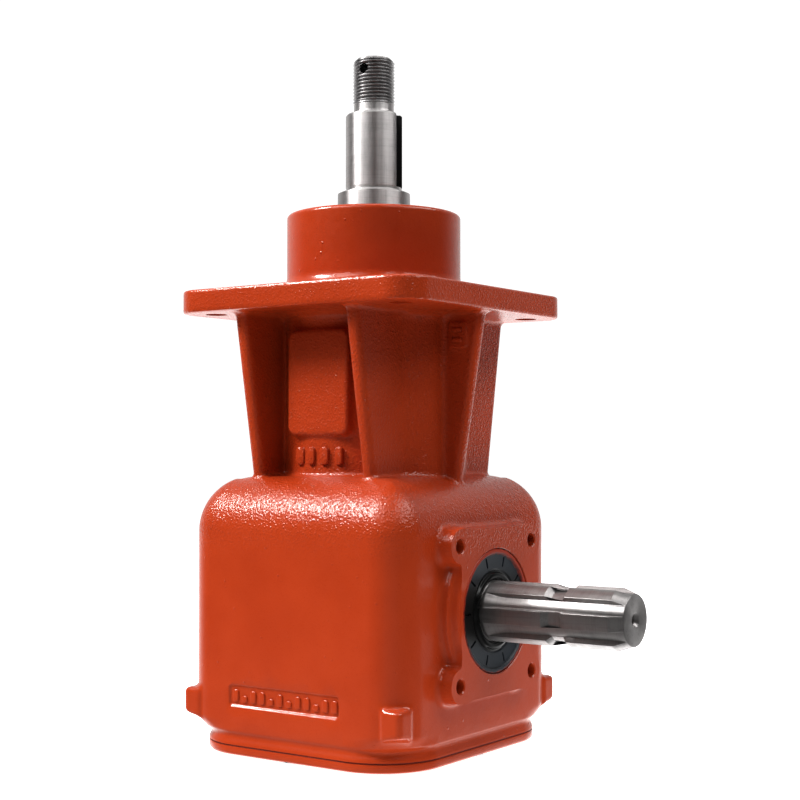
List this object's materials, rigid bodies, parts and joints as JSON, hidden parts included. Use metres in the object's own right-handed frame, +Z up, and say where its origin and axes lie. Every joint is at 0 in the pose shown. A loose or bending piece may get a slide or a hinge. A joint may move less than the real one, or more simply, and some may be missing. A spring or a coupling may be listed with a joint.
{
  "type": "right angle bevel gearbox",
  "caption": "Right angle bevel gearbox: boxy cast case, splined input shaft at the side, ribbed neck with square flange, and a keyed and threaded output shaft on top.",
  "frame": {"origin": "centre of the base cover's underside, on the output shaft's axis", "axes": "+Z up along the output shaft, +X out along the input shaft, the long side of the box along Y"},
  "size_m": [0.2651, 0.1752, 0.418],
  "materials": {
    "cast_paint": "orange-red gloss paint over sand-cast iron",
    "shaft_steel": "ground and turned bare steel",
    "gear_steel": "hardened gear steel",
    "bearing_steel": "polished bearing steel",
    "black_steel": "black oxide steel",
    "seal_rubber": "moulded nitrile rubber",
    "gasket": "thin dark joint sheet"
  },
  "bodies": {
    "case": {"housing": "cast_paint", "base_cover": "cast_paint", "cover_gasket": "gasket", "cover_screw_1": "black_steel", "cover_screw_2": "black_steel", "cover_screw_3": "black_steel", "cover_screw_4": "black_steel", "cover_screw_5": "black_steel", "cover_screw_6": "black_steel", "cover_screw_7": "black_steel", "cover_screw_8": "black_steel", "oil_filler_plug": "black_steel", "oil_level_plug": "black_steel", "input_front_bearing_outer_ring": "bearing_steel", "input_rear_bearing_outer_ring": "bearing_steel", "input_front_snap_ring": "black_steel", "input_rear_snap_ring": "black_steel", "input_seal": "seal_rubber", "input_end_cap": "seal_rubber", "output_lower_bearing_outer_ring": "bearing_steel", "output_upper_bearing_outer_ring": "bearing_steel", "output_hub_snap_ring": "black_steel", "output_seal": "seal_rubber"},
    "output_line": {"output_shaft": "shaft_steel", "output_pinion": "gear_steel", "output_key": "shaft_steel", "output_pinion_snap_ring": "black_steel", "output_spacer_ring": "shaft_steel", "output_lower_bearing_inner_ring": "bearing_steel", "output_spacer_sleeve": "shaft_steel", "output_upper_bearing_inner_ring": "bearing_steel", "output_shaft_snap_ring": "black_steel"},
    "input_line": {"input_shaft": "shaft_steel", "input_gear": "gear_steel", "input_key": "shaft_steel", "input_spacer": "shaft_steel", "input_front_bearing_inner_ring": "bearing_steel", "input_rear_bearing_inner_ring": "bearing_steel"},
    "input_ball_cages": {"input_front_bearing_balls": "bearing_steel", "input_rear_bearing_balls": "bearing_steel"},
    "output_ball_cages": {"output_lower_bearing_balls": "bearing_steel", "output_upper_bearing_balls": "bearing_steel"}
  },
  "joints": [
    {"name": "output_spin", "type": "hinge", "parent": "case", "child": "output_line", "pos_m": [0, 0, 0.2], "axis": [0, 0, 1], "continuous": true},
    {"name": "input_spin", "type": "hinge", "parent": "case", "child": "input_line", "pos_m": [0, 0, 0.084], "axis": [1, 0, 0], "continuous": true},
    {"name": "input_cage_spin", "type": "hinge", "parent": "case", "child": "input_ball_cages", "pos_m": [0, 0, 0.084], "axis": [1, 0, 0], "continuous": true},
    {"name": "output_cage_spin", "type": "hinge", "parent": "case", "child": "output_ball_cages", "pos_m": [0, 0, 0.2], "axis": [0, 0, 1], "continuous": true}
  ],
  "couplings": [
    {"joint": "input_spin", "follows": "output_spin", "ratio": -0.68182},
    {"joint": "input_cage_spin", "follows": "output_spin", "ratio": -0.27031},
    {"joint": "output_cage_spin", "follows": "output_spin", "ratio": 0.40246}
  ]
}
